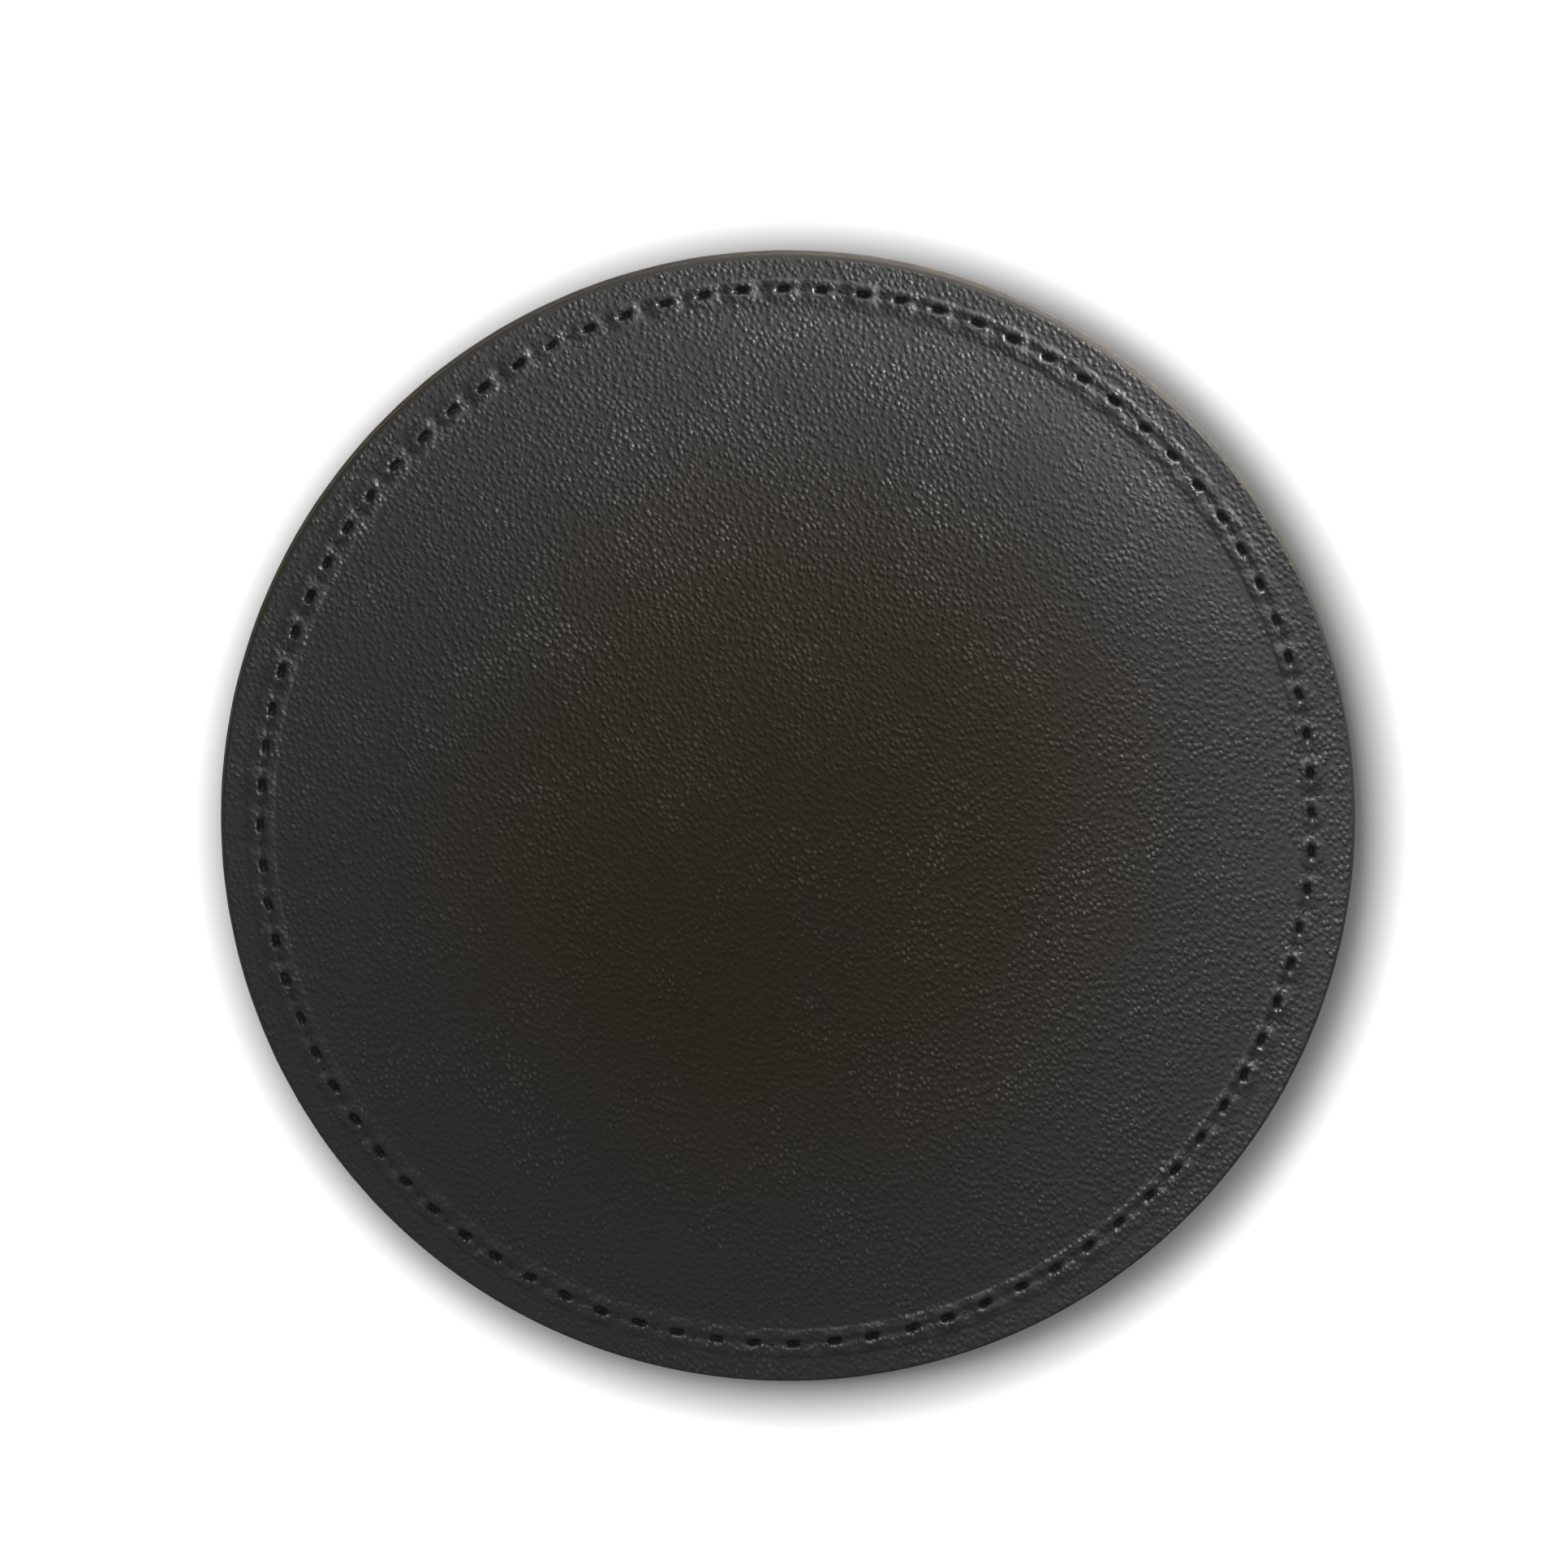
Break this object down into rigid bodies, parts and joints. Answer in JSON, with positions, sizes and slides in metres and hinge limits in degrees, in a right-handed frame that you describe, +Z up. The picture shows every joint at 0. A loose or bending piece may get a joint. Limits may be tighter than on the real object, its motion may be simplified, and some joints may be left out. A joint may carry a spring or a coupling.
{
  "type": "lidded leather dice cup",
  "caption": "Round, slightly tapered black leather dice cup with a felt lining and a flat stitched lift-off lid.",
  "frame": {"origin": "centre of the base's underside, where the cup stands", "axes": "+Z up along the cup's axis, which is also the way the lid lifts; +Y towards the wall's butt seam (the top of the pictured view of the lid); +X to the right of that view"},
  "size_m": [0.092, 0.092, 0.0998],
  "materials": {
    "black_leather": "pebbled full-grain leather, semi-matt black",
    "leather_board": "brown bonded-leather board, raw cut edge",
    "fibreboard": "rolled and pressed grey fibreboard, raw",
    "foam": "thin closed-cell foam",
    "felt": "wine-red wool felt",
    "thread": "black bonded sewing thread",
    "tape": "off-white woven cotton tape"
  },
  "bodies": {
    "cup": {"base_leather": "black_leather", "base_seam_thread": "thread", "wall_leather": "black_leather", "side_seam_thread_left": "thread", "side_seam_thread_right": "thread", "side_seam_tape": "tape", "core_tube": "fibreboard", "base_filler": "fibreboard", "core_floor": "fibreboard", "floor_foam": "foam", "floor_felt": "felt", "wall_felt": "felt", "rim_binding": "black_leather", "rim_seam_outer_thread": "thread", "rim_seam_inner_thread": "thread", "foot_band": "black_leather", "foot_seam_thread": "thread"},
    "lid": {"lid_top_leather": "black_leather", "lid_foam": "foam", "lid_stiffener": "leather_board", "lid_under_leather": "black_leather", "lid_seam_top_thread": "thread", "lid_seam_under_thread": "thread", "plug_leather": "black_leather", "plug_ring": "fibreboard", "lid_felt": "felt"}
  },
  "joints": [
    {"name": "lid_lift", "type": "slide", "parent": "cup", "child": "lid", "axis": [0, 0, 1], "range_m": [0, 0.1]}
  ]
}
